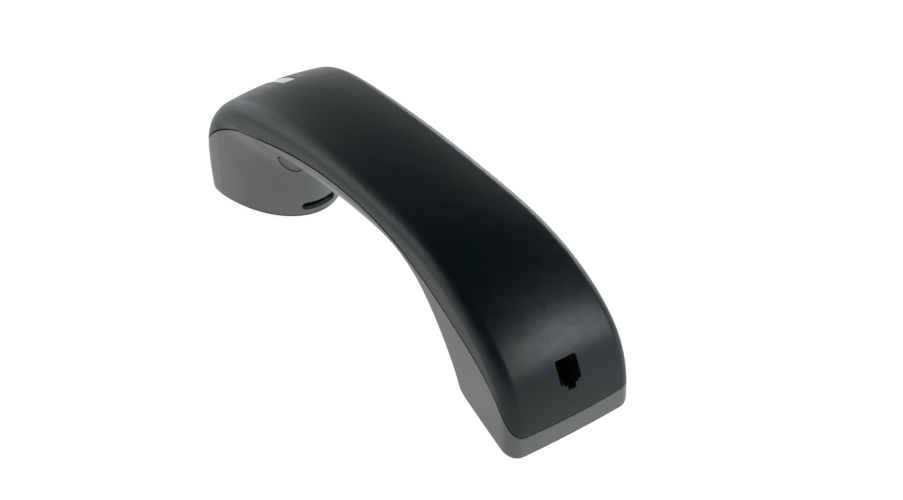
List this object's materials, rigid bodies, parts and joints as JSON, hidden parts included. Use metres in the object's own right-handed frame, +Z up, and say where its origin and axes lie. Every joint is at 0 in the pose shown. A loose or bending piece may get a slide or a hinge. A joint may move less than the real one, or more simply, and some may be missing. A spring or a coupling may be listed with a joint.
{
  "type": "corded telephone handset",
  "caption": "Arched two-shell telephone handset lying face down: earpiece cup, grip, mouthpiece cup, modular cord jack in the end and a pale message-lamp window.",
  "frame": {"origin": "centre of the bounding box in plan, on the surface that the handset lies on", "axes": "+X along the length from the earpiece end to the mouthpiece end, +Y across, +Z up; it lies face down"},
  "size_m": [0.2053, 0.0536, 0.0611],
  "materials": {
    "back_shell": "fine satin texture, near black",
    "front_shell": "fine satin texture, near black, slightly lighter",
    "lamp_lens": "pale translucent, smooth",
    "circuit_board": "satin solder mask",
    "led_body": "moulded, clear dome",
    "front_shell_trim": "as the front cover",
    "black_insert": "matte black",
    "cloth": "woven",
    "foam_rubber": "soft",
    "cone_film": "thin film",
    "copper_wire": "enamelled wire",
    "zinc_steel": "zinc plated",
    "magnet": "sintered",
    "tinned_brass": "tinned",
    "screw_steel": "plated",
    "capsule_can": "drawn can",
    "gold_wire": "gold plated",
    "ferrite": "sintered",
    "connector": "natural nylon",
    "wire_red": "pvc insulation",
    "wire_black": "pvc insulation",
    "wire_white": "pvc insulation",
    "wire_yellow": "pvc insulation"
  },
  "bodies": {
    "handset": {"rear_cover": "back_shell", "front_cover": "front_shell", "lamp_window": "lamp_lens", "lamp_board": "circuit_board", "lamp_leds": "led_body", "ear_screw_plugs": "front_shell_trim", "hook_slot_liner": "black_insert", "receiver_screen": "cloth", "receiver_gasket": "foam_rubber", "receiver_frame": "black_insert", "receiver_surround": "cone_film", "receiver_yoke": "zinc_steel", "receiver_magnet": "magnet", "receiver_top_plate": "zinc_steel", "receiver_terminals": "tinned_brass", "receiver_retainer": "black_insert", "retainer_screws": "screw_steel", "microphone_screen": "cloth", "microphone_boot": "foam_rubber", "microphone_capsule": "capsule_can", "jack_housing": "black_insert", "jack_insert": "black_insert", "jack_contact_tails": "gold_wire", "main_board": "circuit_board", "board_screws": "screw_steel", "filter_coils": "ferrite", "lead_header": "connector", "lead_plug": "connector", "receiver_lead_red": "wire_red", "receiver_lead_black": "wire_black", "lamp_lead_white": "wire_white", "lamp_lead_yellow": "wire_yellow", "ballast_weight": "zinc_steel", "ballast_screws": "screw_steel", "acoustic_foam": "foam_rubber", "case_screws": "screw_steel"},
    "receiver_cone": {"receiver_diaphragm": "cone_film", "receiver_voice_coil": "copper_wire"},
    "jack_springs": {"jack_contacts": "gold_wire"}
  },
  "joints": [
    {"name": "cone_travel", "type": "slide", "parent": "handset", "child": "receiver_cone", "axis": [0, 0, 1], "range_m": [-0.0003, 0.0003], "stiffness_N_per_m": 200, "deforming": ["receiver_surround"]},
    {"name": "springs_lift", "type": "hinge", "parent": "handset", "child": "jack_springs", "pos_m": [0.0914, 0, 0.02965], "axis": [0, 1, 0], "range_deg": [0, 10], "stiffness_Nm_per_rad": 0.005}
  ]
}
